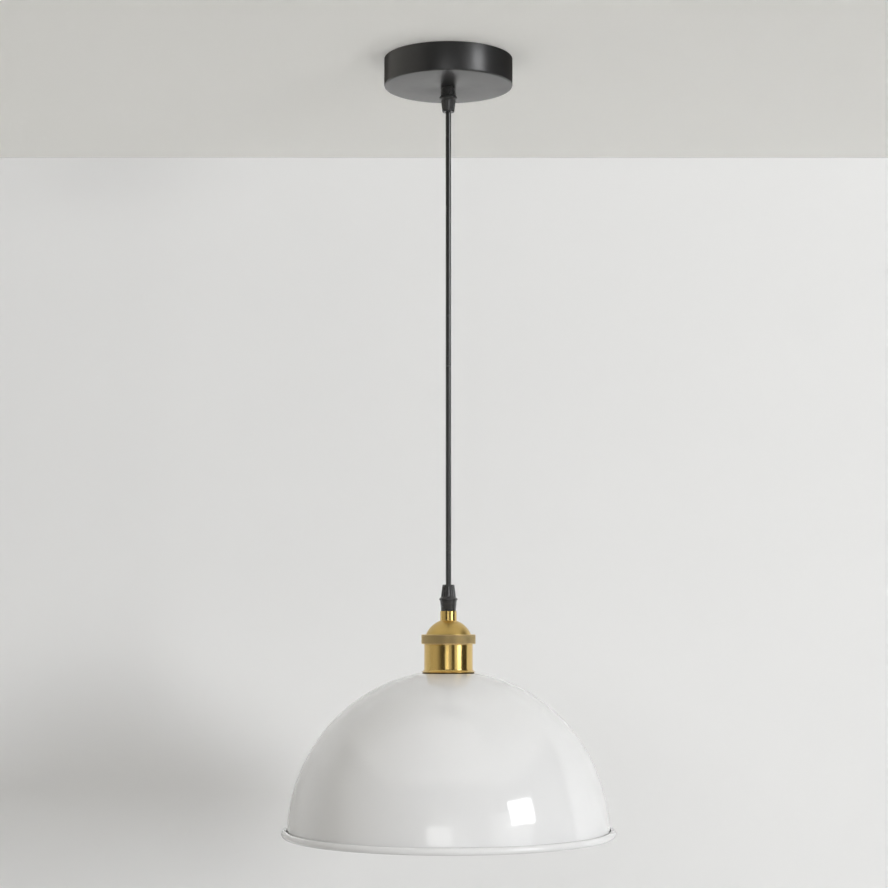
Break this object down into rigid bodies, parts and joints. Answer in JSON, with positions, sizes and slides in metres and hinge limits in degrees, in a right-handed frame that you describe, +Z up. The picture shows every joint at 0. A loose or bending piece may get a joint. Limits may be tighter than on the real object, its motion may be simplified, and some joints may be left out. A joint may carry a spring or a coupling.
{
  "type": "pendant ceiling light",
  "caption": "Pendant light: white dome shade with a rolled rim on a knurled brass lampholder, hung by a straight black cable from a black ceiling cup.",
  "frame": {"origin": "centre of the canopy's mouth on the ceiling plane, between the bracket's two slots", "axes": "+Z up, towards the ceiling, along the cable; +X along the bracket, through both slots; +Y to the back"},
  "size_m": [0.3032, 0.3032, 0.7186],
  "materials": {
    "painted_black": "satin black powder coat",
    "zinc_steel": "zinc-plated steel",
    "terminal_plastic": "natural polyamide",
    "brass_plain": "plain brass",
    "brass_satin": "satin lacquered brass",
    "brass_aged": "aged brass, knurled",
    "grip_plastic": "black polyamide",
    "cable_black": "black PVC sheath",
    "core_brown": "brown PVC",
    "core_blue": "blue PVC",
    "core_green": "green PVC with a yellow stripe",
    "porcelain": "glazed porcelain",
    "enamel_white": "gloss white enamel",
    "black_glass": "black insulating bead",
    "nickel_cap": "nickel-plated cap",
    "opal_glass": "opal glass"
  },
  "bodies": {
    "canopy": {"canopy_cup": "painted_black", "mounting_bracket": "zinc_steel", "upper_nipple": "zinc_steel", "lock_nuts": "zinc_steel", "canopy_washer": "zinc_steel", "earth_lug": "zinc_steel", "earth_screw": "brass_plain", "terminal_block": "terminal_plastic", "terminal_inserts": "brass_plain", "terminal_screws": "zinc_steel", "block_fixing_screw": "zinc_steel", "canopy_core_live": "core_brown", "canopy_core_neutral": "core_blue", "canopy_core_earth": "core_green", "upper_grip_body": "grip_plastic", "upper_grip_nut": "grip_plastic", "upper_grip_collet": "grip_plastic", "cable_stub": "cable_black"},
    "cable_top": {"cable_bend": "cable_black"},
    "cable": {"flex_cable": "cable_black"},
    "lampholder": {"lower_grip_body": "grip_plastic", "lower_grip_nut": "grip_plastic", "lower_grip_collet": "grip_plastic", "lower_nipple": "zinc_steel", "holder_cap": "brass_satin", "knurled_ring": "brass_aged", "holder_sleeve": "brass_satin", "porcelain_core": "porcelain", "screw_shell": "brass_plain", "centre_contact": "brass_plain", "holder_core_live": "core_brown", "holder_core_neutral": "core_blue", "holder_core_earth": "core_green", "holder_terminals": "brass_plain", "holder_terminal_screws": "zinc_steel", "threaded_collar": "brass_plain", "shade_ring": "brass_plain", "shade": "enamel_white"},
    "bulb_tip": {"bulb_contact_tip": "nickel_cap"},
    "bulb": {"bulb_insulator": "black_glass", "bulb_cap": "nickel_cap", "bulb_glass": "opal_glass"}
  },
  "joints": [
    {"name": "swing_sideways", "type": "hinge", "parent": "canopy", "child": "cable_top", "pos_m": [0, 0, -0.0627], "axis": [0, 1, 0], "range_deg": [-40, 40]},
    {"name": "swing_front_back", "type": "hinge", "parent": "cable_top", "child": "cable", "pos_m": [0, 0, -0.0867], "axis": [1, 0, 0], "range_deg": [-40, 40]},
    {"name": "cable_twist", "type": "hinge", "parent": "cable", "child": "lampholder", "pos_m": [0, 0, -0.4913], "axis": [0, 0, 1], "range_deg": [-180, 180]},
    {"name": "bulb_travel", "type": "slide", "parent": "lampholder", "child": "bulb_tip", "axis": [0, 0, -1], "range_m": [0, 0.01815]},
    {"name": "bulb_turn", "type": "hinge", "parent": "bulb_tip", "child": "bulb", "pos_m": [0, 0, -0.61], "axis": [0, 0, -1], "range_deg": [0, 1800]}
  ],
  "couplings": [
    {"joint": "bulb_turn", "follows": "bulb_travel", "rad_per_m": 1731.4}
  ]
}
